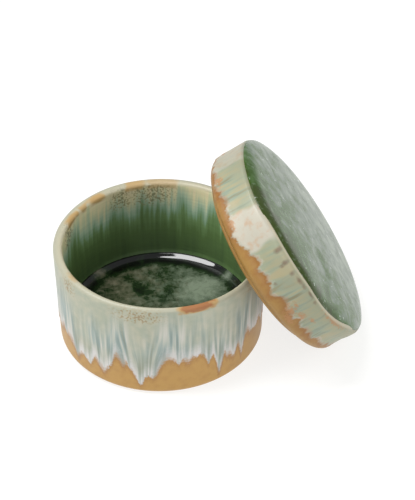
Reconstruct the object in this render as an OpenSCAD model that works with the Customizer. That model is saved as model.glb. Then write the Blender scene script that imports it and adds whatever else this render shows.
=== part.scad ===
// Lidded serving bowl in glazed stoneware: a straight-sided bowl and a flat lid.
// A pool of glass is melted into the bowl's floor and another into the lid's top.
// The lid is off. It stands on its lower edge and leans on the bowl's lip.
// Millimetres, +Z up. The origin is the centre of the bowl's foot, on the table.

/* [Bowl] */
// Diameter across the bowl's lip
bowl_d = 135; // [115:1:160]
// Height from the table to the top of the lip
bowl_h = 71; // [58:1:84]
// Thickness of the wall, which is also the width of the rounded lip
bowl_wall = 5; // [4:0.1:7]
// How far the wall draws in, on the radius, from the lip to the heel
bowl_draw = 1.4; // [0:0.1:4]
// Outside radius of the heel, where the wall turns under to the foot
heel_r = 4.5; // [2:0.1:8]
// Thickness of the clay floor above the hollow of the foot
bowl_floor = 5; // [4:0.1:9]
// Inside radius where the floor turns up into the wall
corner_r = 10; // [7:0.1:12]

/* [Foot] */
// Width of the flat ring that the bowl stands on
foot_w = 9; // [5:0.5:14]
// Depth of the turned hollow inside the foot ring
foot_hollow = 2; // [1:0.1:3]

/* [Glass in the bowl] */
// Depth of the glass over the middle of the floor
pool_depth = 3.5; // [2:0.1:5]
// Radius of the curve in which the glass climbs towards the wall
pool_climb_r = 14; // [11:0.5:20]
// Width of that curve inside the edge of the flat glass
pool_climb_w = 6; // [3:0.5:8]

/* [Lid] */
// How far the lid's side stands outside the bowl's lip when it is closed
lid_overhang = 2.5; // [1:0.1:5]
// Height of the lid from its seat to the top of its rim
lid_h = 27.2; // [24:0.1:34]
// Outside radius of the lid's lower edge
lid_heel_r = 5; // [2:0.1:6]
// Width of the rim round the lid's top
lid_rim_w = 4; // [3.8:0.1:8]
// Outside radius of that rim
lid_rim_r = 3.4; // [1:0.1:3.6]
// Radius of the rim's inner edge
lid_rim_in_r = 0.3; // [0.1:0.1:0.5]
// Depth of the hollow underside, from the seat to its ceiling
lid_hollow = 5.5; // [3:0.1:8]
// Radius between the hollow's ceiling and its side
lid_hollow_r = 3; // [1:0.1:5]

/* [Locating flange] */
// How far the flange stands down below the seat
flange_h = 3.8; // [2.5:0.1:8]
// Thickness of the flange
flange_w = 4.5; // [3:0.1:7]
// Gap all round between the flange and the bowl's mouth
flange_clear = 1.5; // [0.5:0.1:3]

/* [Glass on the lid] */
// Thickness of the glass at its edge, just below the rim's inner edge
lid_glass_edge = 4; // [2.5:0.1:6]
// Rise of the glass from its edge to the middle
lid_glass_crown = 2.5; // [1:0.1:6]
// Further rise close to the edge, where the glass rolls over
lid_glass_roll = 1.4; // [0:0.1:2.5]
// Width of that roll, inside the edge
lid_glass_roll_w = 5; // [3:0.5:10]
// Radius at the bottom of the recess that holds the glass
lid_recess_r = 2; // [0.5:0.1:2]

/* [Lean] */
// Tilt of the lid's axis from the vertical, in degrees
lean_tilt = 55.8; // [50:0.1:62]
// Sideways place of the lid's middle, square to the lean
lean_shift = -0.8; // [-5:0.1:5]
// Gap between the bowl's lip and the ceiling of the lid's hollow
lean_gap = 0.3; // [0.2:0.1:1]

/* [Hidden] */
$fn = 128;

// Room that a cut runs past the faces it opens
spare = 1;

// The bowl's section: lip, heel and the line of the wall between them
rim_r = bowl_d / 2;
lip_r = bowl_wall / 2;
lip_z = bowl_h - lip_r;
mouth_r = rim_r - bowl_wall;
heel_x = rim_r - bowl_draw - heel_r;
foot_in_r = heel_x - foot_w;
floor_z = foot_hollow + bowl_floor;
corner_z = floor_z + corner_r;
corner_x = wall_r(corner_z) - bowl_wall - corner_r;

// The glass in the bowl: its level, and where it starts to climb
pool_z = floor_z + pool_depth;
pool_edge_r = corner_x + sqrt(pow(corner_r, 2) - pow(corner_r - pool_depth, 2));
pool_flat_r = pool_edge_r - pool_climb_w;

// The lid's section, from its own seat plane
lid_r = rim_r + lid_overhang;
recess_r = lid_r - lid_rim_w;
glass_edge_z = lid_h - lid_rim_in_r;
recess_z = glass_edge_z - lid_glass_edge;
lid_top_z = glass_edge_z + lid_glass_crown + lid_glass_roll;
flange_r = mouth_r - flange_clear;
hollow_r = flange_r - flange_w;
flange_end_r = flange_w / 2;
// Where the dome of glass starts to roll over, and the steps in its curve before and after that
crown_r = recess_r - lid_glass_roll_w;
crown_steps = 12;
roll_steps = 6;
dome_radii = concat(
    [for (i = [0 : crown_steps - 1]) crown_r * i / crown_steps],
    [for (i = [0 : roll_steps]) crown_r + lid_glass_roll_w * i / roll_steps]
);

// The lean: the lid's heel is on the table and its ceiling is on the bowl's lip
lean_z = (lid_r - lid_heel_r) * sin(lean_tilt) + lid_heel_r * (1 - cos(lean_tilt));
lip_reach = (rim_r - lip_r) * sin(lean_tilt) + (lip_z - lean_z) * cos(lean_tilt) + lip_r;
lean_x = (lip_reach - lid_hollow + lean_gap) / sin(lean_tilt);

// Outside radius of the bowl's wall at a height
function wall_r(z) = rim_r - bowl_draw * (lip_z - z) / (lip_z - heel_r);
// Height of the dome of glass at a radius: a parabola, with a second one where it rolls over
function dome_z(r) =
    glass_edge_z + lid_glass_crown * (1 - pow(r / recess_r, 2))
    + lid_glass_roll * (1 - pow(max(0, r - crown_r) / lid_glass_roll_w, 2));

module bowl_outline() {
    polygon([[0, 0], [heel_x, 0], [heel_x + heel_r, heel_r], [rim_r, lip_z], [0, lip_z]]);
    translate([heel_x, heel_r])
        circle(heel_r);
    translate([rim_r - lip_r, lip_z])
        circle(lip_r);
}

module bowl_cavity() {
    polygon([
        [0, floor_z], [corner_x, floor_z], [corner_x + corner_r, corner_z],
        [mouth_r, lip_z], [mouth_r, bowl_h + spare], [0, bowl_h + spare]
    ]);
    translate([corner_x, corner_z])
        circle(corner_r);
}

// The hollow of the foot has a sloping side, as a turning tool leaves it
module foot_cut() {
    polygon([
        [0, -spare], [foot_in_r, -spare], [foot_in_r, 0],
        [foot_in_r - foot_hollow, foot_hollow], [0, foot_hollow]
    ]);
}

module bowl_body() {
    color("#b4b69d")
        rotate_extrude()
            difference() {
                bowl_outline();
                bowl_cavity();
                foot_cut();
            }
}

// Glass takes the shape of the floor that it melted on, flat in the middle and drawn up at the wall
module bowl_glass_pool() {
    color("#2e4a2a")
        rotate_extrude()
            difference() {
                intersection() {
                    bowl_cavity();
                    square([rim_r, pool_z + pool_climb_r]);
                }
                translate([0, pool_z])
                    square([pool_flat_r, pool_climb_r + spare]);
                translate([pool_flat_r, pool_z + pool_climb_r])
                    circle(pool_climb_r);
            }
}

module lid_outline() {
    polygon([
        [0, 0], [lid_r - lid_heel_r, 0], [lid_r, lid_heel_r], [lid_r, lid_h - lid_rim_r],
        [lid_r - lid_rim_r, lid_h], [recess_r + lid_rim_in_r, lid_h],
        [recess_r, lid_h - lid_rim_in_r], [0, lid_h - lid_rim_in_r]
    ]);
    translate([lid_r - lid_heel_r, lid_heel_r])
        circle(lid_heel_r);
    translate([lid_r - lid_rim_r, lid_h - lid_rim_r])
        circle(lid_rim_r);
    translate([recess_r + lid_rim_in_r, lid_h - lid_rim_in_r])
        circle(lid_rim_in_r);
    translate([hollow_r, flange_end_r - flange_h])
        square([flange_w, flange_h]);
    translate([hollow_r + flange_end_r, flange_end_r - flange_h])
        circle(flange_end_r);
}

module lid_recess() {
    polygon([
        [0, recess_z], [recess_r - lid_recess_r, recess_z], [recess_r, recess_z + lid_recess_r],
        [recess_r, lid_top_z + spare], [0, lid_top_z + spare]
    ]);
    translate([recess_r - lid_recess_r, recess_z + lid_recess_r])
        circle(lid_recess_r);
}

module lid_dome() {
    polygon([
        [recess_r, 0], [0, 0],
        for (r = dome_radii) [r, dome_z(r)]
    ]);
}

module lid_underside() {
    polygon([
        [0, -flange_h - spare], [hollow_r, -flange_h - spare], [hollow_r, lid_hollow - lid_hollow_r],
        [hollow_r - lid_hollow_r, lid_hollow], [0, lid_hollow]
    ]);
    translate([hollow_r - lid_hollow_r, lid_hollow - lid_hollow_r])
        circle(lid_hollow_r);
}

// From the lid's own frame to where it leans
module leaning() {
    translate([lean_x, lean_shift, lean_z])
        rotate([0, lean_tilt, 0])
            children();
}

module lid_body() {
    color("#b6a878")
        leaning()
            rotate_extrude()
                difference() {
                    lid_outline();
                    lid_recess();
                    lid_underside();
                }
}

// A shallow dome of glass fills the recess and rises above the rim
module lid_glass_pool() {
    color("#5d7355")
        leaning()
            rotate_extrude()
                intersection() {
                    lid_recess();
                    lid_dome();
                }
}

bowl_body();
bowl_glass_pool();
lid_body();
lid_glass_pool();
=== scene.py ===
# Lidded serving bowl in glazed stoneware. The lid is off and leans on the bowl's lip.
import random
from functools import lru_cache
from math import atan2, cos, degrees, exp, hypot, pi, radians, sin, tau

import bmesh
import bpy
from mathutils import Matrix, Vector, noise


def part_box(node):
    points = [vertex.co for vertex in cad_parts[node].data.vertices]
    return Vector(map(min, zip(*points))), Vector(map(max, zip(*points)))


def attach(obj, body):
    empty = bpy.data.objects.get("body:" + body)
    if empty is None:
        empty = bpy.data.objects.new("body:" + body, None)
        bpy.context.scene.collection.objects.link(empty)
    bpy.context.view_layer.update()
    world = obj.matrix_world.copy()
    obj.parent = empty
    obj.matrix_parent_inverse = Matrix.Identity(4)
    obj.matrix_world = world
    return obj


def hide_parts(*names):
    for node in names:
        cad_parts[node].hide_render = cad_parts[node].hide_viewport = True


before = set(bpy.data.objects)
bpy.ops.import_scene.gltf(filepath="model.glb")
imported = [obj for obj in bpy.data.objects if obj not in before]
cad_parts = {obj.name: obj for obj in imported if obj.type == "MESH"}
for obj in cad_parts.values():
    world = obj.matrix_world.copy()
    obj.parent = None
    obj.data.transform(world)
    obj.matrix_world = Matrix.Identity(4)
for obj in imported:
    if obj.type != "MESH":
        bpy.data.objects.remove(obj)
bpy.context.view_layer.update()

# The table and the light: an acrylic sheet lit from below, a pale room, a small soft light
# overhead, which the glass reflects, and large ones in front, to the left and to the right.
mm = 0.001
table_width = 1.8
table_white = "#8c8c8b"
table_glow_white = "#fbfbfa"
table_glow = 0.80
room_white = "#f4f6f8"
room_strength = 0.45
# Each light: its direction, how far away it is, its width and depth, and its watts
soft_lights = {
    "overhead": (Vector((-0.36, 0.0, 0.93)), 1.1, 0.32, 0.88, 10.0),
    "front": (Vector((0.06, -0.83, 0.55)), 1.5, 1.0, 1.0, 6.0),
    "left": (Vector((-0.90, -0.10, 0.45)), 1.5, 1.0, 1.0, 2.5),
    "right": (Vector((0.75, -0.25, 0.60)), 1.5, 1.0, 1.0, 3.5),
}


def linear(hex_colour):
    """A linear colour with full alpha from an sRGB hex value."""
    shades = [int(hex_colour[i : i + 2], 16) / 255 for i in (1, 3, 5)]
    return [c / 12.92 if c <= 0.04045 else ((c + 0.055) / 1.055) ** 2.4 for c in shades] + [1.0]


def add(tree, kind, inputs, stops=None, **settings):
    """Adds a node with its settings. Each input is a value, or a node or socket that is linked to it."""
    made = tree.nodes.new(kind)
    for name, value in settings.items():
        setattr(made, name, value)
    if stops:
        ramp = made.color_ramp.elements
        while len(ramp) < len(stops):
            ramp.new(1.0)
        for stop, (place, colour) in zip(ramp, stops):
            stop.position = place
            stop.color = linear(colour)
    for name, value in inputs.items():
        if isinstance(value, bpy.types.Node):
            tree.links.new(value.outputs[0], made.inputs[name])
        elif isinstance(value, bpy.types.NodeSocket):
            tree.links.new(value, made.inputs[name])
        else:
            made.inputs[name].default_value = value
    return made


def new_material(name):
    """An empty node material, its tree and its surface shader."""
    material = bpy.data.materials.new(name)
    material.use_nodes = True
    return material, material.node_tree, material.node_tree.nodes["Principled BSDF"]


def finished(name, mesh, material):
    """A smooth-shaded object made from a bmesh, with its material."""
    data = bpy.data.meshes.new(name)
    mesh.to_mesh(data)
    mesh.free()
    data.shade_smooth()
    data.materials.append(material)
    made = bpy.data.objects.new(name, data)
    bpy.context.scene.collection.objects.link(made)
    return made


# Lit acrylic: white and matt, with a glow of its own that softens every shadow on it
white_acrylic, _, acrylic_shader = new_material("lit white acrylic")
acrylic_shader.inputs["Base Color"].default_value = linear(table_white)
acrylic_shader.inputs["Roughness"].default_value = 0.9
acrylic_shader.inputs["Specular IOR Level"].default_value = 0.1
acrylic_shader.inputs["Emission Color"].default_value = linear(table_glow_white)
acrylic_shader.inputs["Emission Strength"].default_value = table_glow
table_mesh = bmesh.new()
bmesh.ops.create_grid(table_mesh, x_segments=1, y_segments=1, size=table_width / 2)
table = finished("table", table_mesh, white_acrylic)

room = bpy.data.worlds.new("white room")
room.use_nodes = True
bpy.context.scene.world = room
room_light = room.node_tree.nodes["Background"]
room_light.inputs["Color"].default_value = linear(room_white)
room_light.inputs["Strength"].default_value = room_strength

for name, (way, away, width, depth, watts) in soft_lights.items():
    soft_light = bpy.data.lights.new(name, "AREA")
    soft_light.shape = "ELLIPSE"
    soft_light.size = width
    soft_light.size_y = depth
    soft_light.energy = watts
    soft_box = bpy.data.objects.new(name, soft_light)
    soft_box.location = way.normalized() * away
    soft_box.rotation_euler = way.to_track_quat("Z", "Y").to_euler()
    bpy.context.scene.collection.objects.link(soft_box)

# The camera stands where the photograph's stood, found from the outlines of the bowl and lid
picture_high = 500
focal_pixels = 1600
sensor_high = 36.0
camera_pitch = 38.83
camera_turn = -4.7
camera_place = Vector((-34.8, -793.5, 702.1)) * mm
lens = bpy.data.cameras.new("camera")
lens.sensor_fit = "VERTICAL"
lens.sensor_height = sensor_high
lens.lens = focal_pixels / picture_high * sensor_high
camera = bpy.data.objects.new("camera", lens)
camera.location = camera_place
camera.rotation_euler = (radians(90 - camera_pitch), 0, radians(camera_turn))
bpy.context.scene.collection.objects.link(camera)
bpy.context.scene.camera = camera
bpy.context.scene.view_settings.view_transform = "Standard"

# The bowl: thrown in stoneware on a wheel and turned at the foot. It is dipped in an amber glaze,
# and a pale glaze poured from the lip has run down over that in the kiln, in drips of many lengths.
_, bowl_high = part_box("bowl_body")
rim_r = bowl_high.y
bowl_h = bowl_high.z
bowl_wall = 5 * mm
lip_round = 2.45 * mm
heel_out_r = rim_r - 1.4 * mm
heel_round = 4.5 * mm
foot_w = 9 * mm
foot_hollow = 2 * mm
foot_slope = 2 * mm
foot_round = 0.6 * mm
foot_in_r = heel_out_r - heel_round - foot_w
floor_z = 7 * mm
inner_foot_r = heel_out_r - bowl_wall
corner_round = 10 * mm
# The hand-thrown lip dips in one direction, and the mouth is off the centre that way: the direction and
# how far to its sides the dip ends and is deepest, in degrees, then the depth and the shift
dip_way = -48
dip_span = (62, 0)
dip = 1.8 * mm
mouth_shift = 1.1 * mm * Vector((cos(radians(dip_way)), sin(radians(dip_way)), 0))
# Unevenness of hand work, in mm: the slow wobble of the wall, the throwing lines inside, the lip's wave
wall_wobble = 0.35
throwing_depth = 0.05
lip_wave = 0.4
# The size of the mesh's faces along the section, how many it has round the axis, and how close two
# vertices are that become one
bowl_grain = 1.2 * mm
bowl_turns = 384
seam_gap = 0.001 * mm


def turned(corners, grain, turns):
    """A form turned on the wheel: a section of (radius, height, rounding) corners, spun about the axis.
    One sector is spun, then doubled until it goes all the way round: that is quicker than one long spin."""
    mesh = bmesh.new()
    verts = [mesh.verts.new((r, 0, z)) for r, z, _ in corners]
    for pair in zip(verts, verts[1:]):
        mesh.edges.new(pair)
    for vert, (_, _, rounding) in zip(verts, corners):
        if rounding:
            bmesh.ops.bevel(
                mesh, geom=[vert], offset=rounding, segments=max(3, round(1.5 * rounding / grain)),
                profile=0.5, affect="VERTICES", material=-1,
            )
    for edge in mesh.edges[:]:
        cuts = int(edge.calc_length() / grain)
        if cuts:
            bmesh.ops.subdivide_edges(mesh, edges=[edge], cuts=cuts)
    sectors = 16
    bmesh.ops.spin(
        mesh, geom=mesh.verts[:] + mesh.edges[:], cent=(0, 0, 0), axis=(0, 0, 1),
        angle=tau / sectors, steps=turns // sectors,
    )
    while sectors > 1:
        copied = bmesh.ops.duplicate(mesh, geom=mesh.verts[:] + mesh.edges[:] + mesh.faces[:])
        copied_verts = [item for item in copied["geom"] if isinstance(item, bmesh.types.BMVert)]
        bmesh.ops.rotate(mesh, verts=copied_verts, matrix=Matrix.Rotation(tau / sectors, 3, "Z"))
        sectors //= 2
    bmesh.ops.remove_doubles(mesh, verts=mesh.verts, dist=seam_gap)
    bmesh.ops.recalc_face_normals(mesh, faces=mesh.faces)
    mesh.normal_update()
    return mesh


def ease(low, high, value):
    """A smooth step from 0 at low to 1 at high."""
    share = min(1.0, max(0.0, (value - low) / (high - low)))
    return share * share * (3 - 2 * share)


def apart(angle, middle):
    """The angle in degrees between two directions round the axis."""
    return abs((angle - middle + 180) % 360 - 180)


def more_drips(seed, start, end, gaps, widths, reaches):
    """Drips as a kiln leaves them on a side that the photograph doesn't show."""
    chance = random.Random(seed)
    drips = []
    angle = start
    while angle < end:
        drips.append((angle, chance.uniform(*widths), chance.uniform(*reaches)))
        angle += chance.uniform(*gaps)
    return drips


# The glaze's level in mm at some directions. Each drip: its direction and half width in degrees, and how
# far it runs below that level in mm.
bowl_levels = [
    (-180, 24), (-160, 21.5), (-154, 19.5), (-140, 17), (-132, 19), (-123, 24), (-117, 28), (-92, 28.5),
    (-70, 29), (-63, 26.5), (-55, 22), (-46, 25), (-37, 27), (-20, 27), (180, 24),
]
bowl_drips = [
    (-167, 6, 6), (-146, 5.5, 9), (-136, 4, 8), (-125.5, 6.5, 13), (-113.5, 4, 6), (-105, 8.5, 22),
    (-98.5, 7, 17), (-84, 4, 3.5), (-79, 3, 4), (-66.8, 3, 9), (-60.3, 3.6, 19), (-55, 3, 4),
    (-50.6, 3.6, 10), (-43.8, 3.2, 15), (-36, 4, 3),
] + more_drips(7, -28, 184, (5, 12), (3, 9), (3, 18))
# How round a drip's tip is, as a share of its half width, and how fast it narrows towards the tip
tip_round = 0.18
drip_taper = 1.15
# The ragged line of the edge between the drips: sizes in mm, and how fine they are
edge_waves = [(2.2, 16), (1.4, 30)]
# Runs bend towards a drip from this many of its half widths away, and fully if it has this length in mm
bend_reach = 1.5
full_bend = 20
# The thickness in mm of the poured glaze, what the bead along its edge adds, and the height of the bead
glaze_thick = 0.16
bead_thick = 0.34
bead_high = 5
# Places where the glaze has broken from the lip: direction and half width in degrees, how strongly, and
# the radius in mm inside which it has
lip_breaks = [
    (-73.5, 12, 1.0, 68), (153, 8, 0.5, 65), (140, 4, 0.45, 65), (128.5, 8, 0.5, 65.2),
    (102, 8, 0.45, 66.5), (86, 12, 0.3, 68), (20, 8, 0.5, 66), (-20, 6, 0.45, 68), (-150, 6, 0.3, 66),
]
# The blur at that radius in mm, and the ragged line of the breaks: sizes, and how fine they are
break_blur = 0.7
break_waves = [(0.5, 300), (0.5, 130)]
# Places with brown specks under the lip, outside and inside: direction and half width in degrees. The place
# at -31 degrees outside, under the lip beside the lid, is widened to stand in for the lid's shadow there
# too: stain and painted shadow
outer_specks_and_lid_shadow = [(-105, 18), (-150, 8), (-31, 15), (40, 14)]
inner_specks = [(93, 19), (112, 10), (160, 10), (-60, 15)]
# Heights in mm between which each of these comes in on the bowl
bend_span = (54, 16)
crest_span = (68.2, 70.4)
break_span = (66.4, 67.6)
outer_speck_span = (58, 63.5)
inner_speck_span = (50, 58)
wobble_span = (0, 20)
wave_span = (30, 71)
dip_rise_span = (40, 71)
# Places lower than this in mm aren't inside the bowl, and the glaze on the foot ring starts between these
# heights
foot_top = 5
wiped_span = (0.2, 1.0)
# How strong the pale crest is, how far the runs follow their bend, and half of the lip's width in which
# the outside's glaze turns to the inside's
crest_strength = 0.8
bowl_follow = 0.4
lip_blend = 1.2 * mm


def edge_of(levels, drips):
    """The height in mm of a running glaze's edge, as a function of the direction in degrees."""
    @lru_cache(maxsize=None)
    def edge(angle):
        level = levels[-1][1]
        for (start, low), (end, high) in zip(levels, levels[1:]):
            if start <= angle <= end:
                level = low + (high - low) * (angle - start) / (end - start)
        reach = 0
        for middle, half_width, length in drips:
            off = hypot(apart(angle, middle) / half_width, tip_round) - tip_round / 2
            if off < 1:
                reach += (length * (1 - off) ** drip_taper) ** 4
        around = Vector((cos(radians(angle)), sin(radians(angle)), levels[0][1]))
        ragged = sum(size * noise.noise(around * fineness) for size, fineness in edge_waves)
        return level - reach ** 0.25 + ragged
    return edge


def bend_of(drips):
    """How far, in degrees, the runs of a glaze bend towards its drips, as a function of the direction."""
    @lru_cache(maxsize=None)
    def bend(angle):
        total = 0
        for middle, half_width, length in drips:
            off = ((angle - middle + 180) % 360 - 180) / (bend_reach * half_width)
            if abs(off) < 1:
                total += half_width * length / full_bend * sin(pi * off)
        return total
    return bend


def strongest(angle, places):
    """How far a direction lies into the nearest of some places, from 1 in its middle to 0 at its ends."""
    return max(0, max(1 - apart(angle, middle) / half_width for middle, half_width in places))


def glaze_relief(above):
    """How far the poured glaze stands out, in mm, at a height in mm above its edge."""
    return ease(-0.6, 1.2, above) * (glaze_thick + bead_thick * exp(-max(0, above) / bead_high))


# How the poured glaze looks: sizes in mm, how far its streaks are drawn out, and colours from pale to dark
bowl_look = {
    "ragged": 3.0, "grit": 7.0, "feather": 6.5, "white_w": 13.0, "white": 0.95,
    "runs_from": 44.0, "runs_full": 22.0, "stretch": 0.075,
    "under": "#b48b49", "under_deep": "#9c6e37", "body": "#a1a693", "cream": "#b7b39d",
    "runs": [(0.34, "#c2c0b6"), (0.43, "#b3b6aa"), (0.51, "#99a59f"), (0.59, "#84948f"), (0.70, "#7f887c")],
}
bowl_edge = edge_of(bowl_levels, bowl_drips)
bowl_bend = bend_of(bowl_drips)
bowl_mesh = turned(
    [
        (0, foot_hollow, 0),
        (foot_in_r - foot_slope, foot_hollow, foot_round),
        (foot_in_r, 0, foot_round),
        (heel_out_r, 0, heel_round),
        (rim_r, bowl_h, lip_round),
        (rim_r - bowl_wall, bowl_h, lip_round),
        (inner_foot_r, floor_z, corner_round),
        (0, floor_z, 0),
    ],
    bowl_grain, bowl_turns,
)
above_layer = bowl_mesh.verts.layers.float.new("above_edge")
flow_layer = bowl_mesh.verts.layers.float_vector.new("flow")
inside_layer = bowl_mesh.verts.layers.float.new("inside")
break_layer = bowl_mesh.verts.layers.float.new("lip_break")
bare_layer = bowl_mesh.verts.layers.float.new("bare")
crest_layer = bowl_mesh.verts.layers.float.new("crest")
speck_layer = bowl_mesh.verts.layers.float.new("specks")
for vert in bowl_mesh.verts:
    r = hypot(vert.co.x, vert.co.y)
    angle = round(degrees(atan2(vert.co.y, vert.co.x)), 2)
    height = vert.co.z / mm
    middle_r = heel_out_r + (rim_r - heel_out_r) * vert.co.z / bowl_h - bowl_wall / 2
    inside = ease(lip_blend, -lip_blend, r - middle_r) if height > foot_top else 0
    above = height - bowl_edge(angle)
    bent = bowl_follow * bowl_bend(angle) * ease(*bend_span, height) * (1 - inside)
    came_from = radians(angle + bent)
    vert[flow_layer] = (rim_r * cos(came_from), rim_r * sin(came_from), bowl_look["stretch"] * vert.co.z)
    vert[above_layer] = above
    vert[inside_layer] = inside
    vert[crest_layer] = crest_strength * ease(*crest_span, height)
    vert[bare_layer] = 1 - ease(*wiped_span, height) if height < foot_hollow / mm + wiped_span[0] else 0
    if r < foot_in_r:
        vert[bare_layer] = 1 if height < foot_top else 0
    ragged = sum(size * noise.noise(vert.co * fineness) for size, fineness in break_waves)
    broken = max(
        strength * ease(0, 0.5, 1 - apart(angle, middle) / half_width + ragged * (1.5 - strength))
        * ease(within + break_blur, within - break_blur, r / mm + ragged)
        for middle, half_width, strength, within in lip_breaks
    )
    vert[break_layer] = broken * ease(*break_span, height + 1.5 * ragged)
    near_outside = strongest(angle, outer_specks_and_lid_shadow) * ease(*outer_speck_span, height) * (1 - inside)
    near_inside = strongest(angle, inner_specks) * ease(*inner_speck_span, height) * inside
    vert[speck_layer] = max(near_outside, near_inside)
    around = Vector((cos(radians(angle)), sin(radians(angle)), 0))
    wobble = wall_wobble * noise.noise(around * 1.3 + Vector((0, 0, height / 60)))
    throwing = throwing_depth * sin(height * 1.9 + radians(angle)) * inside
    run = glaze_relief(above) * (1 - inside)
    vert.co += vert.normal * (throwing + run) * mm + around * wobble * mm * ease(*wobble_span, height)
    vert.co.z += lip_wave * mm * noise.noise(around * 1.1 + Vector((5, 0, 0))) * ease(*wave_span, height)
    near_lip = ease(*dip_rise_span, height)
    vert.co += mouth_shift * inside * near_lip
    vert.co.z -= dip * ease(*dip_span, apart(angle, dip_way)) * near_lip

# Glazed stoneware: amber where the under glaze shows, pale celadon and cream above it with soft streaks
# of blue grey, white along the edges of the drips, and green inside. A thin layer of glass makes it shine.
drip_white = "#cbc8c6"
olive_grey = "#8c8f7c"
lip_cream = "#a5a28e"
lip_tan = "#b0915f"
lip_orange = "#9c683e"
speck_brown = "#856a44"
speck_olive = "#4f5236"
speck_tan = "#b3a27a"
clay = "#b79a78"
streak_w = 2.8 * mm
zone_w = 14 * mm
cloud_w = 6 * mm
speck_w = 1.3 * mm
grit_w = 1.5 * mm
peel_w = 1.6 * mm
line_w = 1.3 * mm


def poured_over_amber(tree, place, above, look):
    """A pale glaze that has run down over an amber one, from the height in mm above its edge.
    The look holds its sizes in mm and its colours. Gives its colour, streaks, slow zones and height."""
    flow = add(tree, "ShaderNodeAttribute", {}, attribute_name="flow").outputs["Vector"]
    slow = add(tree, "ShaderNodeMapping", {"Vector": place, "Scale": (1, 1, 3 * look["stretch"])})
    fine = add(tree, "ShaderNodeTexNoise", {
        "Vector": flow, "Scale": 1 / streak_w, "Detail": 2.0, "Roughness": 0.45,
    })
    zone = add(tree, "ShaderNodeTexNoise", {"Vector": slow, "Scale": 1 / zone_w, "Detail": 2.0})
    cloud = add(tree, "ShaderNodeTexNoise", {"Vector": place, "Scale": 1 / cloud_w, "Detail": 4.0})
    wander = add(tree, "ShaderNodeMath", {
        0: fine, 1: 2 * look["ragged"], 2: above,
    }, operation="MULTIPLY_ADD")
    grit = add(tree, "ShaderNodeTexNoise", {"Vector": place, "Scale": 1 / grit_w, "Detail": 2.0})
    gritty = add(tree, "ShaderNodeMath", {0: grit, 1: look["grit"], 2: wander}, operation="MULTIPLY_ADD")
    height = add(tree, "ShaderNodeMath", {
        0: gritty, 1: look["ragged"] + look["grit"] / 2,
    }, operation="SUBTRACT")
    feather = add(tree, "ShaderNodeMapRange", {
        "Value": zone, "From Min": 0.44, "From Max": 0.58, "To Min": 1.5, "To Max": look["feather"],
    })
    cover = add(tree, "ShaderNodeMapRange", {"Value": height, "From Min": -0.8, "From Max": feather})
    # The amber below, darker in patches and beside the edge
    patchy = add(tree, "ShaderNodeMapRange", {
        "Value": cloud, "From Min": 0.46, "From Max": 0.70, "To Max": 0.35,
    })
    beside = add(tree, "ShaderNodeMapRange", {
        "Value": height, "From Min": -6.0, "From Max": -1.0, "To Max": 1.4,
    })
    singed = add(tree, "ShaderNodeMath", {0: beside, 1: zone}, operation="MULTIPLY")
    burnt = add(tree, "ShaderNodeMath", {0: patchy, 1: singed}, operation="MAXIMUM")
    under = add(tree, "ShaderNodeMixRGB", {
        "Fac": burnt, "Color1": linear(look["under"]), "Color2": linear(look["under_deep"]),
    })
    # The pale glaze: cloudy near the top, drawn into streaks lower down, white along its edge
    milky = add(tree, "ShaderNodeMapRange", {
        "Value": cloud, "From Min": 0.40, "From Max": 0.66, "To Max": 0.7,
    })
    body = add(tree, "ShaderNodeMixRGB", {
        "Fac": milky, "Color1": linear(look["body"]), "Color2": linear(look["cream"]),
    })
    runs = add(tree, "ShaderNodeValToRGB", {"Fac": fine}, stops=look["runs"])
    low = add(tree, "ShaderNodeMapRange", {
        "Value": height, "From Min": look["runs_full"], "From Max": look["runs_from"],
        "To Min": 1.0, "To Max": 0.0,
    })
    gathered = add(tree, "ShaderNodeMapRange", {
        "Value": zone, "From Min": 0.36, "From Max": 0.54, "To Min": 0.3,
    })
    run_amount = add(tree, "ShaderNodeMath", {0: low, 1: gathered}, operation="MULTIPLY")
    streaked = add(tree, "ShaderNodeMixRGB", {"Fac": run_amount, "Color1": body, "Color2": runs})
    margin = add(tree, "ShaderNodeMapRange", {
        "Value": height, "From Min": 0.2 * look["white_w"], "From Max": look["white_w"],
        "To Min": look["white"], "To Max": 0.0,
    })
    between = add(tree, "ShaderNodeMapRange", {
        "Value": fine, "From Min": 0.46, "From Max": 0.64, "To Min": 1.0, "To Max": 0.35,
    })
    white_amount = add(tree, "ShaderNodeMath", {0: margin, 1: between}, operation="MULTIPLY")
    edged = add(tree, "ShaderNodeMixRGB", {
        "Fac": white_amount, "Color1": streaked, "Color2": linear(drip_white),
    })
    colour = add(tree, "ShaderNodeMixRGB", {"Fac": cover, "Color1": under, "Color2": edged})
    return colour, fine, zone, height


def glaze_shine(tree, shader, place, colour, bare):
    """Links the colour, makes bare clay rougher than glaze, and gives both a faint orange peel."""
    peel = add(tree, "ShaderNodeTexNoise", {"Vector": place, "Scale": 1 / peel_w, "Detail": 2.0})
    bump = add(tree, "ShaderNodeBump", {"Height": peel, "Strength": 0.08, "Distance": 0.3 * mm})
    rough = add(tree, "ShaderNodeMapRange", {"Value": bare, "To Min": 0.44, "To Max": 0.75})
    tree.links.new(colour.outputs[0], shader.inputs["Base Color"])
    tree.links.new(rough.outputs[0], shader.inputs["Roughness"])
    tree.links.new(bump.outputs[0], shader.inputs["Normal"])
    shader.inputs["IOR"].default_value = 1.5


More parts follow.
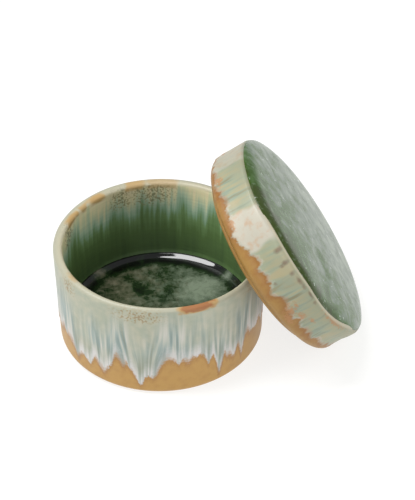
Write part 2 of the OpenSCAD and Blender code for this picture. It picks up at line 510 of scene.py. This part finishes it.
bowl_glaze, tree, shader = new_material("running glaze on the bowl")
place = add(tree, "ShaderNodeTexCoord", {}).outputs["Object"]
above = add(tree, "ShaderNodeAttribute", {}, attribute_name="above_edge").outputs["Fac"]
inside = add(tree, "ShaderNodeAttribute", {}, attribute_name="inside").outputs["Fac"]
crest = add(tree, "ShaderNodeAttribute", {}, attribute_name="crest").outputs["Fac"]
specks = add(tree, "ShaderNodeAttribute", {}, attribute_name="specks").outputs["Fac"]
broken = add(tree, "ShaderNodeAttribute", {}, attribute_name="lip_break").outputs["Fac"]
bare = add(tree, "ShaderNodeAttribute", {}, attribute_name="bare").outputs["Fac"]
height = add(tree, "ShaderNodeSeparateXYZ", {"Vector": place}).outputs["Z"]
poured, fine, zone, _ = poured_over_amber(tree, place, above, bowl_look)
# The long drips are thick in the middle, and olive grey there
thick = add(tree, "ShaderNodeMapRange", {"Value": above, "From Min": 6.0, "From Max": 13.0, "To Max": 0.75})
low_down = add(tree, "ShaderNodeMapRange", {
    "Value": height, "From Min": 22 * mm, "From Max": 34 * mm, "To Min": 1.0, "To Max": 0.0,
})
streaky = add(tree, "ShaderNodeMapRange", {
    "Value": fine, "From Min": 0.40, "From Max": 0.58, "To Min": 0.35,
})
thick_low = add(tree, "ShaderNodeMath", {0: thick, 1: low_down}, operation="MULTIPLY")
core = add(tree, "ShaderNodeMath", {0: thick_low, 1: streaky}, operation="MULTIPLY")
outer = add(tree, "ShaderNodeMixRGB", {"Fac": core, "Color1": poured, "Color2": linear(olive_grey)})
# Inside, the same glaze is thin at the lip, runs down in teal streaks and is green below them
depth = add(tree, "ShaderNodeMapRange", {"Value": height, "From Min": bowl_h, "From Max": floor_z})
run_fine = add(tree, "ShaderNodeMath", {0: fine, 1: 0.5, 2: depth}, operation="MULTIPLY_ADD")
run_zone = add(tree, "ShaderNodeMath", {0: zone, 1: 0.4, 2: run_fine}, operation="MULTIPLY_ADD")
run_down = add(tree, "ShaderNodeMath", {0: run_zone, 1: 0.43}, operation="SUBTRACT")
inner = add(tree, "ShaderNodeValToRGB", {"Fac": run_down}, stops=[
    (0.00, "#c9bf9f"), (0.09, "#c6bf9b"), (0.18, "#b2b697"), (0.27, "#97aa94"), (0.36, "#77937a"),
    (0.45, "#5f794f"), (0.60, "#4b6238"), (1.0, "#3c5030"),
])
# Faint throwing lines go round the inside. The inside is also painted lighter towards the left and the
# right walls, as painted light where those walls catch more of it
rings = add(tree, "ShaderNodeMapping", {"Vector": place, "Scale": (0.05, 0.05, 1)})
lines = add(tree, "ShaderNodeTexNoise", {"Vector": rings, "Scale": 1 / line_w, "Detail": 2.0})
lined = add(tree, "ShaderNodeMapRange", {
    "Value": lines, "From Min": 0.35, "From Max": 0.65, "To Min": 0.95, "To Max": 1.03,
})
# Painted light: the inner colour is lifted by distance from the middle, towards the left and right walls
across = add(tree, "ShaderNodeSeparateXYZ", {"Vector": place}).outputs["X"]
moved = add(tree, "ShaderNodeMath", {0: across, 1: 14 * mm}, operation="ADD")
to_side = add(tree, "ShaderNodeMath", {0: moved}, operation="ABSOLUTE")
painted_side_light = add(tree, "ShaderNodeMapRange", {
    "Value": to_side, "From Min": 15 * mm, "From Max": 64 * mm, "To Min": 1.0, "To Max": 1.85,
})
shade = add(tree, "ShaderNodeMath", {0: lined, 1: painted_side_light}, operation="MULTIPLY")
thrown = add(tree, "ShaderNodeMixRGB", {
    "Fac": 1.0, "Color1": inner, "Color2": shade,
}, blend_type="MULTIPLY")
sides = add(tree, "ShaderNodeMixRGB", {"Fac": inside, "Color1": outer, "Color2": thrown})
# Brown specks on a tan ground below the lip in places, and olive ones inside
grain = add(tree, "ShaderNodeTexNoise", {"Vector": place, "Scale": 1 / speck_w, "Detail": 0.0})
raised = add(tree, "ShaderNodeMath", {0: specks, 1: 0.16, 2: grain}, operation="MULTIPLY_ADD")
speck = add(tree, "ShaderNodeMapRange", {
    "Value": raised, "From Min": 0.62, "From Max": 0.76, "To Max": 0.6,
})
ground = add(tree, "ShaderNodeMapRange", {
    "Value": raised, "From Min": 0.48, "From Max": 0.70, "To Max": 0.4,
})
only_here = add(tree, "ShaderNodeMapRange", {"Value": specks, "From Min": 0.0, "From Max": 0.6})
speck_amount = add(tree, "ShaderNodeMath", {0: speck, 1: only_here}, operation="MULTIPLY")
ground_amount = add(tree, "ShaderNodeMath", {0: ground, 1: only_here}, operation="MULTIPLY")
tanned = add(tree, "ShaderNodeMixRGB", {"Fac": ground_amount, "Color1": sides, "Color2": linear(speck_tan)})
speck_tone = add(tree, "ShaderNodeMixRGB", {
    "Fac": inside, "Color1": linear(speck_brown), "Color2": linear(speck_olive),
})
speckled = add(tree, "ShaderNodeMixRGB", {"Fac": speck_amount, "Color1": tanned, "Color2": speck_tone})
# The glaze is thin and pale on the crest of the lip, and the crest is painted lighter still as a painted
# highlight. It is broken to amber in places
pale_lip = add(tree, "ShaderNodeMixRGB", {"Fac": crest, "Color1": speckled, "Color2": linear(lip_cream)})
lip_tone = add(tree, "ShaderNodeValToRGB", {"Fac": broken}, stops=[(0.6, lip_tan), (0.9, lip_orange)])
lip_amount = add(tree, "ShaderNodeMapRange", {"Value": broken, "From Min": 0.0, "From Max": 0.5})
lip = add(tree, "ShaderNodeMixRGB", {"Fac": lip_amount, "Color1": pale_lip, "Color2": lip_tone})
whole = add(tree, "ShaderNodeMixRGB", {"Fac": bare, "Color1": lip, "Color2": linear(clay)})
glaze_shine(tree, shader, place, whole, bare)

bowl = finished("glazed_bowl", bowl_mesh, bowl_glaze)
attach(bowl, "bowl")
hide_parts("bowl_body")

# The glass in the bowl: green bottle glass laid on the floor before the last firing.
# It has melted to a level pool and climbs a little where it meets the wall.
pool_low, pool_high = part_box("bowl_glass_pool")
pool_margin_r = pool_high.x
pool_margin_z = pool_high.z + 0.3 * mm
pool_level = 10.1 * mm
pool_climb = 4.7 * mm
pool_under_r = pool_margin_r - 2.1 * mm
pool_under_round = 5.5 * mm
pool_climb_round = 1.8 * mm
pool_ripple = 0.12 * mm
level_slack = 0.1 * mm
pool_grain = 1.2 * mm
pool_turns = 360
# Cloudy patches in the glass, and clear ones below 0: middle and radius in mm, and how strong they are. The
# two strongest, at (-40, 44) and (47, 34), lie on the dark ring and are painted reflections, not cloud
pool_clouds_and_reflections = [
    (23, 28, 13, 1.0), (31, 16, 11, 0.9), (39, 27, 8, 0.8), (13, 15, 8, 0.7), (-1, 48, 7, 0.6),
    (-28, 32, 9, 0.6), (-6, 31, 6, 0.5), (-21, 16, 9, 0.55), (-15, 42, 7, 0.55), (-40, 44, 6, 2.4),
    (47, 34, 4.5, 2.2), (-12, 25, 7, -0.8), (8, 23, 6, -0.7), (3, 14, 5, -0.6), (4, 44, 5, -0.6),
    (-20, 36, 5, -0.6), (-33, 25, 5, -0.5), (0, -15, 20, 0.5), (-30, -12, 14, 0.5), (26, -22, 16, 0.7),
    (2, -42, 9, 0.5),
]
pool_mesh = turned(
    [
        (0, pool_low.z, 0),
        (pool_under_r, pool_low.z, pool_under_round),
        (pool_margin_r, pool_margin_z, 0),
        (pool_margin_r - pool_climb, pool_level, pool_climb_round),
        (0, pool_level, 0),
    ],
    pool_grain, pool_turns,
)
clouds_and_reflections_layer = pool_mesh.verts.layers.float.new("clouds_and_reflections")
for vert in pool_mesh.verts:
    vert[clouds_and_reflections_layer] = sum(
        strength * exp(-((vert.co.x / mm - x) ** 2 + (vert.co.y / mm - y) ** 2) / radius ** 2)
        for x, y, radius, strength in pool_clouds_and_reflections
    )
    if vert.co.z > pool_level - level_slack:
        vert.co.z += pool_ripple * noise.noise(vert.co * 90)

# Melted glass: almost black green where it is thick, with swirls of grey green cloud in it, and very shiny.
# Towards the margin the clouds are taken out, leaving a near black ring of painted shade for the dark wall
# that the glass reflects there
swirl_w = 7 * mm
mottle_w = 4.5 * mm
pool_glass, tree, shader = new_material("melted green glass in the bowl")
place = add(tree, "ShaderNodeTexCoord", {}).outputs["Object"]
cloud = add(tree, "ShaderNodeTexNoise", {
    "Vector": place, "Scale": 1 / swirl_w, "Detail": 8.0, "Roughness": 0.74, "Distortion": 0.4,
})
clouds_and_reflections = add(tree, "ShaderNodeAttribute", {}, attribute_name="clouds_and_reflections").outputs["Fac"]
flat = add(tree, "ShaderNodeMapping", {"Vector": place, "Scale": (1, 1, 0)})
out = add(tree, "ShaderNodeVectorMath", {0: flat}, operation="LENGTH").outputs["Value"]
# Painted shade: the clouds fade out towards the margin, leaving a near black ring
ring = add(tree, "ShaderNodeMapRange", {
    "Value": out, "From Min": 48 * mm, "From Max": 53.5 * mm, "To Max": 0.35,
})
clouded = add(tree, "ShaderNodeMath", {
    0: clouds_and_reflections, 1: 0.26, 2: cloud.outputs["Fac"],
}, operation="MULTIPLY_ADD")
clouds_less_painted_shade = add(tree, "ShaderNodeMath", {0: clouded, 1: ring}, operation="SUBTRACT")
across = add(tree, "ShaderNodeSeparateXYZ", {"Vector": place}).outputs["X"]
mixed = add(tree, "ShaderNodeTexNoise", {
    "Vector": place, "Scale": 1 / mottle_w, "Detail": 5.0, "Roughness": 0.6,
})
mottled = add(tree, "ShaderNodeMath", {0: mixed, 1: 0.45, 2: clouds_less_painted_shade}, operation="MULTIPLY_ADD")
swayed = add(tree, "ShaderNodeMath", {0: mixed, 1: 90 * mm, 2: across}, operation="MULTIPLY_ADD")
shifted = add(tree, "ShaderNodeMapRange", {"Value": swayed, "From Min": 15 * mm, "From Max": 70 * mm})
milk_tone = add(tree, "ShaderNodeValToRGB", {"Fac": shifted}, stops=[(0.2, "#847f6b"), (0.8, "#7e8a77")])
amount = add(tree, "ShaderNodeMapRange", {
    "Value": mottled, "From Min": 0.65, "From Max": 1.14, "To Max": 0.95,
})
deep_tone = add(tree, "ShaderNodeValToRGB", {"Fac": clouds_less_painted_shade}, stops=[(0.18, "#050805"), (0.46, "#1c3015")])
tint = add(tree, "ShaderNodeMixRGB", {"Fac": amount, "Color1": deep_tone, "Color2": milk_tone})
tree.links.new(tint.outputs[0], shader.inputs["Base Color"])
shader.inputs["Roughness"].default_value = 0.05
shader.inputs["IOR"].default_value = 1.52

pool = finished("glass_pool_in_bowl", pool_mesh, pool_glass)
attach(pool, "bowl")
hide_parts("bowl_glass_pool")

# The lid: a thick stoneware disc, hollowed below, with a flange that drops into the bowl's mouth
# and a raised rim round its top. Its glaze has run from the rim towards the lower edge.
lid_r = 70 * mm
lid_h = 27.2 * mm
lid_heel_round = 5 * mm
lid_rim_w = 4 * mm
lid_rim_round = 3.4 * mm
lid_rim_in_round = 0.3 * mm
lid_hollow = 5.5 * mm
lid_hollow_round = 3 * mm
flange_r = 61 * mm
flange_w = 4.5 * mm
flange_h = 3.8 * mm
flange_round = 2.2 * mm
seat_round = 0.6 * mm
recess_r = lid_r - lid_rim_w
recess_z = 22.9 * mm
recess_round = 2 * mm
lid_grain = 0.95 * mm
lid_turns = 448
lean_tilt = radians(55.8)
lean_place = Vector((70.265, -0.8, 55.95)) * mm
lean = Matrix.Translation(lean_place) @ Matrix.Rotation(lean_tilt, 4, "Y")
# The hand-made rim isn't quite level: the directions in which it stands up and dips, how far to their
# sides that ends and is full, in degrees, and by how much
rise_way = -118
rise_span = (42, 12)
rise = 1.2 * mm
rim_dip_way = -80
rim_dip_span = (26, 4)
rim_dip = 1.0 * mm
# How far the rim lies lower where the glass has run over it
sunk_rim = 0.5 * mm
# The direction in which the side swells near the rim and is drawn in below that, and how far in mm
waist_way = -37
swell = 0.35
drawn_in = 0.65
# The slow wobble of the hand-made side, in mm
lid_wobble = 0.3
# The direction in which the rim is bare, and how far from there, in degrees, the glass starts to run over
# it and its glaze turns grey green
bare_rim_way = -98
run_over_span = (35, 55)
far_rim_span = (85, 120)


def rim_lift(angle):
    """How far the lid's rim stands up at a direction in degrees."""
    risen = rise * ease(*rise_span, apart(angle, rise_way))
    return risen - rim_dip * ease(*rim_dip_span, apart(angle, rim_dip_way))


def run_over(angle):
    """How far the glass has run over the lid's rim at a direction in degrees, from 0 to 1."""
    return ease(*run_over_span, apart(angle, bare_rim_way))


# The level of the glaze at some directions, and its drips from there
lid_levels = [
    (-180, 5.5), (-172, 5.5), (-164, 7.5), (-154, 7), (-143, 6.5), (-136, 7.5), (-132, 8.5), (-128, 11.5),
    (-122, 10.8), (-114, 9.8), (-108, 9), (-102, 11.5), (-92, 9.5), (-86, 10), (-72, 9.5), (-60, 9.5),
    (-40, 11), (0, 12), (60, 9), (120, 11), (180, 5.5),
]
lid_drips = [
    (-175, 7, 2), (-167, 3, 1.5), (-157, 5, 1.5), (-148, 3, 1.5), (-142, 5, 2), (-131, 3, 1.5),
    (-122, 3.5, 3), (-116, 2, 2.5), (-109, 3.5, 3.5), (-98, 2, 2), (-92, 3, 2.5), (-83, 3.5, 2),
    (-78, 2, 2.5), (-71, 4, 2.5), (-64, 2.5, 2),
] + more_drips(11, -58, 174, (4, 9), (3, 8), (2, 6))
# Milky runs: direction and half width in degrees, and how strong they are
cream_runs = [(-142.5, 12, 0.95), (-199, 14, 0.6), (35, 10, 0.8), (88, 14, 1.0), (130, 7, 0.8)]
# Brown flecks and orange patches: direction in degrees and height in mm, and half of the width and height
lid_flecks = [
    (-126.5, 25.0, 1.6, 3.0), (-119.4, 24.6, 1.6, 3.0), (-118.4, 21.8, 1.2, 2.2), (-113.2, 24.2, 1.8, 2.4),
    (-108.0, 25.2, 2.6, 1.2), (-103.4, 25.4, 2.2, 1.3), (-98.2, 25.8, 3.2, 0.9), (-92.8, 25.6, 1.6, 1.6),
    (-112.4, 12.8, 1.4, 1.6), (-40, 24, 2, 2.5), (-34, 25, 1.6, 1.4), (-8, 22, 1.6, 4), (25, 25, 3, 1.4),
    (118, 24, 2, 3),
]
lid_patches = [
    (-95.5, 11.0, 4.5, 3.6), (-97, 15.4, 2.5, 2), (-89.5, 14, 3.5, 2.5), (-84, 16.5, 3, 2),
    (-92, 6.2, 6, 2.5), (-73, 26.2, 13, 1.6), (-149, 6.6, 4, 2.5), (-177, 8, 4, 3),
    (-20, 10, 6, 4), (60, 12, 8, 4), (150, 9, 6, 4),
]
lid_look = {
    "ragged": 1.8, "grit": 4.2, "feather": 3.5, "white_w": 3.0, "white": 0.4,
    "runs_from": 24.0, "runs_full": 8.0, "stretch": 0.12,
    "under": "#9b763a", "under_deep": "#895a27", "body": "#8e927a", "cream": "#9d9373",
    "runs": [(0.36, "#a19877"), (0.45, "#98987c"), (0.53, "#8f977f"), (0.61, "#83907f"), (0.70, "#7f7a5c")],
}
# Heights in mm between which each of these comes in on the lid
lid_bend_span = (22, 8)
lid_crest_span = (26.3, 27.0)
far_height_span = (24, 26.6)
covered_span = (24, 26)
lift_span = (15, 27)
swell_span = (14, 22)
drawn_low_span = (5, 10)
drawn_high_span = (20, 13)
bare_height_span = (7, 6)
# How far the lid's runs follow their bend, and the radii between which its underside turns to its side
# and its bare clay starts
lid_follow = 1.2
side_span = (flange_r, flange_r + 3 * mm)
bare_r_span = (flange_r - 0.5 * mm, flange_r - 3 * mm)
lid_edge = edge_of(lid_levels, lid_drips)
lid_bend = bend_of(lid_drips)
lid_mesh = turned(
    [
        (0, lid_hollow, 0),
        (flange_r - flange_w, lid_hollow, lid_hollow_round),
        (flange_r - flange_w, -flange_h, flange_round),
        (flange_r, -flange_h, flange_round),
        (flange_r, 0, seat_round),
        (lid_r, 0, lid_heel_round),
        (lid_r, lid_h, lid_rim_round),
        (recess_r, lid_h, lid_rim_in_round),
        (recess_r, recess_z, recess_round),
        (0, recess_z, 0),
    ],
    lid_grain, lid_turns,
)
above_layer = lid_mesh.verts.layers.float.new("above_edge")
flow_layer = lid_mesh.verts.layers.float_vector.new("flow")
cream_layer = lid_mesh.verts.layers.float.new("cream")
far_layer = lid_mesh.verts.layers.float.new("far_rim")
bare_layer = lid_mesh.verts.layers.float.new("bare")
crest_layer = lid_mesh.verts.layers.float.new("crest")
fleck_layer = lid_mesh.verts.layers.float.new("fleck")
patch_layer = lid_mesh.verts.layers.float.new("patch")
for vert in lid_mesh.verts:
    r = hypot(vert.co.x, vert.co.y)
    angle = round(degrees(atan2(vert.co.y, vert.co.x)), 2)
    height = vert.co.z / mm
    side = ease(*side_span, r)
    above = height - lid_edge(angle)
    came_from = radians(angle + lid_follow * lid_bend(angle) * ease(*lid_bend_span, height))
    vert[flow_layer] = (lid_r * cos(came_from), lid_r * sin(came_from), lid_look["stretch"] * vert.co.z)
    vert[above_layer] = above
    vert[far_layer] = ease(*far_rim_span, apart(angle, bare_rim_way)) * ease(*far_height_span, height)
    vert[crest_layer] = crest_strength * ease(*lid_crest_span, height)
    vert[bare_layer] = ease(*bare_r_span, r) * ease(*bare_height_span, height)
    ragged = 0.25 * noise.noise(Vector((angle / 4, height / 9, 3)))
    vert[cream_layer] = max(
        strength * ease(0, 0.25, 1 - apart(angle, middle) / half_width + ragged)
        for middle, half_width, strength in cream_runs
    )
    for layer, spots in ((fleck_layer, lid_flecks), (patch_layer, lid_patches)):
        vert[layer] = max(
            1 - hypot(apart(angle, middle) / half_width, (height - level) / half_height)
            for middle, level, half_width, half_height in spots
        )
    around = Vector((cos(radians(angle)), sin(radians(angle)), 0))
    wobble = lid_wobble * noise.noise(around * 1.4 + Vector((2, 0, height / 40)))
    drawn = drawn_in * ease(*drawn_low_span, height) * ease(*drawn_high_span, height)
    waist = swell * ease(*swell_span, height) - drawn
    waist *= ease(-1, 0.3, cos(radians(angle - waist_way)))
    covered = run_over(angle) * ease(*covered_span, height)
    relief = glaze_relief(above) * side * (1 - covered)
    vert.co += vert.normal * relief * mm + around * (wobble + waist) * mm * side
    vert.co.z -= sunk_rim * covered
    vert.co.z += rim_lift(angle) * r / lid_r * ease(*lift_span, height)
bmesh.ops.transform(lid_mesh, matrix=lean, verts=lid_mesh.verts)

# The lid's glaze: the same amber below, sage and tan above with milky runs of cream
lid_cream = "#b3ae9f"
peach = "#b3967b"
rim_cream = "#bfb79c"
rim_grey = "#7f8a76"
lid_orange = "#a8794c"
fleck_brown = "#6f5844"
blush_w = 5 * mm
rust_w = 1.7 * mm
lid_glaze, tree, shader = new_material("running glaze on the lid")
found = add(tree, "ShaderNodeTexCoord", {}).outputs["Object"]
place = add(tree, "ShaderNodeMapping", {
    "Vector": found, "Location": lean_place, "Rotation": (0, lean_tilt, 0),
}, vector_type="TEXTURE")
above = add(tree, "ShaderNodeAttribute", {}, attribute_name="above_edge").outputs["Fac"]
cream_here = add(tree, "ShaderNodeAttribute", {}, attribute_name="cream").outputs["Fac"]
fleck = add(tree, "ShaderNodeAttribute", {}, attribute_name="fleck").outputs["Fac"]
patch = add(tree, "ShaderNodeAttribute", {}, attribute_name="patch").outputs["Fac"]
far_rim = add(tree, "ShaderNodeAttribute", {}, attribute_name="far_rim").outputs["Fac"]
crest = add(tree, "ShaderNodeAttribute", {}, attribute_name="crest").outputs["Fac"]
bare = add(tree, "ShaderNodeAttribute", {}, attribute_name="bare").outputs["Fac"]
poured, _, _, run = poured_over_amber(tree, place, above, lid_look)
# Milky runs of cream with a blush of peach in them
cover = add(tree, "ShaderNodeMapRange", {"Value": run, "From Min": -0.4, "From Max": 2.4})
blush = add(tree, "ShaderNodeTexNoise", {"Vector": place, "Scale": 1 / blush_w, "Detail": 3.0})
blushed = add(tree, "ShaderNodeMapRange", {
    "Value": blush, "From Min": 0.50, "From Max": 0.68, "To Max": 0.75,
})
milk = add(tree, "ShaderNodeMixRGB", {"Fac": blushed, "Color1": linear(lid_cream), "Color2": linear(peach)})
milk_here = add(tree, "ShaderNodeMath", {0: cream_here, 1: cover}, operation="MULTIPLY")
creamy = add(tree, "ShaderNodeMixRGB", {"Fac": milk_here, "Color1": poured, "Color2": milk})
# Orange patches with a broken edge, and soft brown flecks along the rim
grain = add(tree, "ShaderNodeTexNoise", {
    "Vector": place, "Scale": 1 / rust_w, "Detail": 4.0, "Roughness": 0.6,
})
uneven = add(tree, "ShaderNodeMath", {0: grain, 1: 3.0, 2: -1.6}, operation="MULTIPLY_ADD")
rusty = add(tree, "ShaderNodeMath", {0: patch, 1: uneven}, operation="ADD")
rusted = add(tree, "ShaderNodeMapRange", {"Value": rusty, "From Min": 0.0, "From Max": 0.5, "To Max": 0.75})
oranged = add(tree, "ShaderNodeMixRGB", {"Fac": rusted, "Color1": creamy, "Color2": linear(lid_orange)})
frayed = add(tree, "ShaderNodeMath", {0: blush, 1: 2.0, 2: -1.0}, operation="MULTIPLY_ADD")
flecky = add(tree, "ShaderNodeMath", {0: fleck, 1: frayed}, operation="ADD")
flecked = add(tree, "ShaderNodeMapRange", {
    "Value": flecky, "From Min": 0.0, "From Max": 0.8, "To Max": 0.75,
})
speckled = add(tree, "ShaderNodeMixRGB", {"Fac": flecked, "Color1": oranged, "Color2": linear(fleck_brown)})
# The crest of the rim is pale where the glaze thins and is lighter as a painted highlight, and the far side
# of the rim is grey green under the glass
lipped = add(tree, "ShaderNodeMixRGB", {"Fac": crest, "Color1": speckled, "Color2": linear(rim_cream)})
greyed = add(tree, "ShaderNodeMixRGB", {"Fac": far_rim, "Color1": lipped, "Color2": linear(rim_grey)})
whole = add(tree, "ShaderNodeMixRGB", {"Fac": bare, "Color1": greyed, "Color2": linear(clay)})
glaze_shine(tree, shader, place, whole, bare)

lid = finished("glazed_lid", lid_mesh, lid_glaze)
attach(lid, "lid")
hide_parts("lid_body")

# The glass on the lid: the same bottle glass, melted inside the rim to a low dome with a rolled edge.
# It has run out over the rim, except on the near side.
lid_glass_edge_z = 26.9 * mm
lid_glass_crown = 2.5 * mm
lid_glass_roll = 2.0 * mm
lid_roll_w = 10 * mm
roll_in_r = recess_r - lid_roll_w
roll_top = lid_glass_edge_z + lid_glass_crown * (1 - (1 - lid_roll_w / recess_r) ** 2) + lid_glass_roll
dome_ripple = 0.1 * mm
dome_grain = 0.9 * mm
dome_turns = 384
# How far the glass has run out over the rim, and the height at which it ends
over_rim = 3.2 * mm
over_rim_z = 26.3 * mm
# The direction towards which the glass is painted darker along the rim and over its near half, as painted
# shade for its darker reflections there, and painted lighter on the far side as a painted sheen
painted_shade_way = -122
lid_glass_mesh = turned(
    [
        (0, recess_z, 0),
        (recess_r, recess_z, recess_round),
        (recess_r, lid_glass_edge_z, 0),
        (roll_in_r, lid_glass_edge_z, 0),
        (0, lid_glass_edge_z, 0),
    ],
    dome_grain, dome_turns,
)
for vert in lid_glass_mesh.verts:
    if vert.co.z > lid_glass_edge_z - level_slack:
        r = hypot(vert.co.x, vert.co.y)
        share = r / recess_r
        rolled = max(0, r - recess_r + lid_roll_w) / lid_roll_w
        slow = noise.noise(vert.co * 60)
        angle = degrees(atan2(vert.co.y, vert.co.x))
        risen = lid_glass_edge_z + lid_glass_crown * (1 - share ** 2) + lid_glass_roll * (1 - rolled ** 3)
        over = run_over(angle)
        laid = roll_top - (roll_top - over_rim_z) * rolled ** 2.2 if rolled else risen
        vert.co.z = risen + (laid - risen) * over
        vert.co.z += dome_ripple * slow * (1 - share) + rim_lift(angle) * r / lid_r
        if rolled:
            widened = 1 + over * over_rim * rolled / r
            vert.co.x *= widened
            vert.co.y *= widened
bmesh.ops.transform(lid_glass_mesh, matrix=lean, verts=lid_glass_mesh.verts)

# Melted glass again, a thinner and so a lighter green, with small pale flecks
smoke = "#8b9a86"
pale_fleck = "#c9d2c8"
haze_w = 9 * mm
smudge_w = 3.5 * mm
pale_fleck_w = 2.4 * mm
dome_glass, tree, shader = new_material("melted green glass on the lid")
place = add(tree, "ShaderNodeTexCoord", {}).outputs["Object"]
centred = add(tree, "ShaderNodeMapping", {
    "Vector": place, "Location": lean_place, "Rotation": (0, lean_tilt, 0),
}, vector_type="TEXTURE")
cloud = add(tree, "ShaderNodeTexNoise", {
    "Vector": centred, "Scale": 1 / haze_w, "Detail": 4.0, "Roughness": 0.5, "Distortion": 0.4,
})
flat = add(tree, "ShaderNodeMapping", {"Vector": centred, "Scale": (1, 1, 0)})
out = add(tree, "ShaderNodeVectorMath", {0: flat}, operation="LENGTH").outputs["Value"]
# Painted shade and sheen: the near rim and near half are painted darker, the far half lighter, in place of
# the glass's reflections
ring = add(tree, "ShaderNodeMapRange", {
    "Value": out, "From Min": 50 * mm, "From Max": 64 * mm, "To Max": 0.32,
})
near_way = (cos(radians(painted_shade_way)), sin(radians(painted_shade_way)), 0)
towards = add(tree, "ShaderNodeVectorMath", {
    0: centred, 1: near_way,
}, operation="DOT_PRODUCT").outputs["Value"]
near_half = add(tree, "ShaderNodeMapRange", {"Value": towards, "From Min": 26 * mm, "From Max": 56 * mm})
near_ring = add(tree, "ShaderNodeMath", {0: ring, 1: near_half}, operation="MULTIPLY")
painted_near_shade_far_sheen = add(tree, "ShaderNodeMapRange", {
    "Value": towards, "From Min": -60 * mm, "From Max": 60 * mm, "To Min": -0.16, "To Max": 0.22,
})
darkened = add(tree, "ShaderNodeMath", {0: near_ring, 1: painted_near_shade_far_sheen}, operation="ADD")
clouds_less_painted_shade = add(tree, "ShaderNodeMath", {0: cloud.outputs["Fac"], 1: darkened}, operation="SUBTRACT")
green = add(tree, "ShaderNodeValToRGB", {"Fac": clouds_less_painted_shade}, stops=[
    (0.04, "#33430c"), (0.20, "#33520f"), (0.36, "#4b6836"), (0.50, "#6e7d6b"), (0.70, "#8c9985"),
])
smudge = add(tree, "ShaderNodeTexNoise", {"Vector": centred, "Scale": 1 / smudge_w, "Detail": 3.0})
smudged = add(tree, "ShaderNodeMapRange", {
    "Value": smudge, "From Min": 0.58, "From Max": 0.72, "To Max": 0.35,
})
smoky = add(tree, "ShaderNodeMixRGB", {"Fac": smudged, "Color1": green, "Color2": linear(smoke)})
grain = add(tree, "ShaderNodeTexNoise", {"Vector": centred, "Scale": 1 / pale_fleck_w, "Detail": 1.0})
gathered = add(tree, "ShaderNodeMath", {
    0: cloud.outputs["Fac"], 1: 0.25, 2: grain,
}, operation="MULTIPLY_ADD")
fleck_amount = add(tree, "ShaderNodeMapRange", {
    "Value": gathered, "From Min": 0.85, "From Max": 0.92, "To Max": 0.85,
})
tint = add(tree, "ShaderNodeMixRGB", {"Fac": fleck_amount, "Color1": smoky, "Color2": linear(pale_fleck)})
tree.links.new(tint.outputs[0], shader.inputs["Base Color"])
shader.inputs["Roughness"].default_value = 0.25
shader.inputs["Specular IOR Level"].default_value = 0.35
shader.inputs["IOR"].default_value = 1.52

dome = finished("glass_dome_on_lid", lid_glass_mesh, dome_glass)
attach(dome, "lid")
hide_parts("lid_glass_pool")
